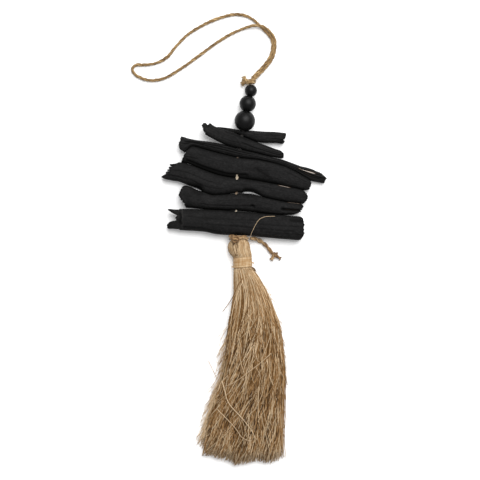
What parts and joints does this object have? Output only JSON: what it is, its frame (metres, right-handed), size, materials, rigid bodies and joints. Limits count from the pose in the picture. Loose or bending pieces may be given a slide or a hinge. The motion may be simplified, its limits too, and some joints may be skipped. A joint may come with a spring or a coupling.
{
  "type": "hanging tassel with beads and sticks",
  "caption": "Hanging tassel lying flat: a twine loop, round wooden beads and rough black sticks threaded on one cord, above a long raffia tassel with a bound neck.",
  "frame": {"origin": "centre of the underside of the beads, sticks and tassel, on the surface that they lie on", "axes": "+Y up the threaded cord to the loop, +X to the right across the sticks seen from above, +Z away from the surface"},
  "size_m": [0.1904, 0.4392, 0.0201],
  "materials": {
    "twine": "twisted jute, dry and slightly fuzzy",
    "black_wood": "turned wood stained black, satin",
    "black_bark": "rough bark stained black, matt",
    "raffia": "dry natural raffia, matt"
  },
  "bodies": {
    "hanger": {"hanging_loop": "twine", "top_knot": "twine", "stringing_cord": "twine", "tassel": "raffia", "neck_binding": "raffia", "head_tie": "twine", "tie_tail": "twine", "tail_knot": "twine"},
    "bead_small": {"bead_small": "black_wood"},
    "bead_medium": {"bead_medium": "black_wood"},
    "bead_large": {"bead_large": "black_wood"},
    "stick_1": {"stick_1": "black_bark"},
    "stick_2": {"stick_2": "black_bark"},
    "stick_3": {"stick_3": "black_bark"},
    "stick_4": {"stick_4": "black_bark"},
    "stick_5": {"stick_5": "black_bark"},
    "stick_6": {"stick_6": "black_bark"},
    "stick_7": {"stick_7": "black_bark"}
  },
  "joints": [
    {"name": "bead_small_spin", "type": "hinge", "parent": "hanger", "child": "bead_small", "pos_m": [0.0057, 0.1743, 0.0076], "axis": [0.2123, 0.9714, -0.1062], "continuous": true},
    {"name": "bead_medium_spin", "type": "hinge", "parent": "hanger", "child": "bead_medium", "pos_m": [0.0026, 0.1615, 0.009], "axis": [0.1961, 0.9771, -0.0831], "continuous": true},
    {"name": "bead_large_spin", "type": "hinge", "parent": "hanger", "child": "bead_large", "pos_m": [-0.0002, 0.1449, 0.0101], "axis": [0.1728, 0.985, 0.0035], "continuous": true},
    {"name": "stick_1_turn", "type": "hinge", "parent": "hanger", "child": "stick_1", "pos_m": [-0.0024, 0.133, 0.0089], "axis": [0.2067, 0.9736, 0.0964], "range_deg": [-20, 0]},
    {"name": "stick_2_turn", "type": "hinge", "parent": "hanger", "child": "stick_2", "pos_m": [-0.0047, 0.1237, 0.008], "axis": [0.2138, 0.9744, 0.0696], "range_deg": [0, 20]},
    {"name": "stick_3_turn", "type": "hinge", "parent": "hanger", "child": "stick_3", "pos_m": [-0.0067, 0.1134, 0.0075], "axis": [0.1144, 0.993, 0.0286], "range_deg": [-20, 20]},
    {"name": "stick_4_turn", "type": "hinge", "parent": "hanger", "child": "stick_4", "pos_m": [-0.0075, 0.0994, 0.0073], "axis": [0.0419, 0.9991, 0.0064], "range_deg": [-20, 20]},
    {"name": "stick_5_turn", "type": "hinge", "parent": "hanger", "child": "stick_5", "pos_m": [-0.008, 0.0824, 0.0073], "axis": [0.0269, 0.9996, -0.006], "range_deg": [-20, 20]},
    {"name": "stick_6_turn", "type": "hinge", "parent": "hanger", "child": "stick_6", "pos_m": [-0.0084, 0.066, 0.0075], "axis": [0.0217, 0.9996, -0.019], "range_deg": [-20, 20]},
    {"name": "stick_7_turn", "type": "hinge", "parent": "hanger", "child": "stick_7", "pos_m": [-0.0088, 0.0456, 0.008], "axis": [0.0186, 0.9996, -0.0217], "range_deg": [-20, 20]}
  ]
}
